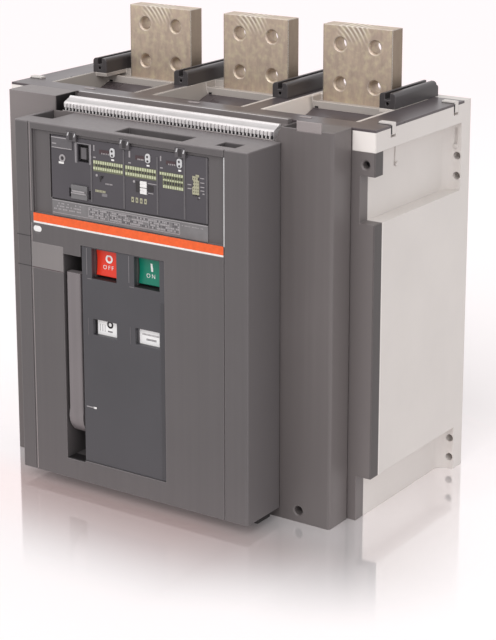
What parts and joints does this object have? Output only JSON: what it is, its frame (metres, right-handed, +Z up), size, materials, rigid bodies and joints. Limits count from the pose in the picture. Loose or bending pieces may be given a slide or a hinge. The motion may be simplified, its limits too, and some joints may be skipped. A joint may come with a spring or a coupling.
{
  "type": "molded case circuit breaker",
  "caption": "Fixed power circuit breaker in a moulded case with upright terminals, a charging lever, push buttons and a trip unit.",
  "frame": {"origin": "centre of the overall box at floor level", "axes": "X to the right of the front, +Y to the rear, +Z up"},
  "size_m": [0.45, 0.285, 0.47],
  "materials": {
    "case_grey": "light grey moulded thermoset, fine matt texture",
    "cover_grey": "dark grey moulded thermoplastic, fine grain",
    "control_grey": "darker grey moulded plastic",
    "black_plastic": "black moulded plastic",
    "mid_grey": "mid grey moulded plastic",
    "tinned_copper": "tin plated copper, machined edges",
    "pin_steel": "zinc plated steel",
    "strip_metal": "bright formed strip",
    "accent_orange": "orange printed stripe",
    "white_plastic": "white plastic",
    "button_red": "red moulded cap",
    "button_green": "green moulded cap",
    "lens": "clear light guide, off"
  },
  "bodies": {
    "case": {"rear_casing": "case_grey", "top_plate": "cover_grey", "front_cover": "cover_grey", "cover_tab": "mid_grey", "frame": "cover_grey", "front_panel": "cover_grey", "control_plate": "control_grey", "lever_surround": "black_plastic", "trip_unit": "black_plastic", "test_socket": "black_plastic", "rating_plug": "mid_grey", "setting_keys": "white_plastic", "status_lights": "lens", "trip_clip_left": "mid_grey", "trip_clip_middle": "mid_grey", "trip_clip_right": "mid_grey", "label_strip": "mid_grey", "accent_stripe": "accent_orange", "accent_line": "white_plastic", "blank_plate": "mid_grey", "seal_cap": "white_plastic", "lever_pin": "pin_steel", "contact_window": "white_plastic", "spring_window": "white_plastic", "terminal_surround_left": "case_grey", "terminal_surround_middle": "case_grey", "terminal_surround_right": "case_grey", "terminal_left": "tinned_copper", "terminal_middle": "tinned_copper", "terminal_right": "tinned_copper", "guide_bar_1": "black_plastic", "guide_bar_2": "black_plastic", "guide_bar_3": "black_plastic", "guide_bar_4": "black_plastic", "auxiliary_strip": "strip_metal", "auxiliary_rail": "mid_grey", "casing_clip_left_front": "case_grey", "casing_clip_left_rear": "case_grey", "casing_clip_right_front": "case_grey", "casing_clip_right_rear": "case_grey", "panel_latch": "black_plastic"},
    "lever": {"charging_lever": "mid_grey"},
    "off_push": {"off_button": "button_red"},
    "on_push": {"on_button": "button_green"}
  },
  "joints": [
    {"name": "lever_swing", "type": "hinge", "parent": "case", "child": "lever", "pos_m": [-0.07025, -0.1195, 0.07959], "axis": [1, 0, 0], "range_deg": [0, 70], "stiffness_Nm_per_rad": 0.6, "springref_deg": -17.19},
    {"name": "off_push_travel", "type": "slide", "parent": "case", "child": "off_push", "axis": [0, 1, 0], "range_m": [0, 0.005], "stiffness_N_per_m": 400, "springref_m": -0.002},
    {"name": "on_push_travel", "type": "slide", "parent": "case", "child": "on_push", "axis": [0, 1, 0], "range_m": [0, 0.005], "stiffness_N_per_m": 400, "springref_m": -0.002}
  ]
}
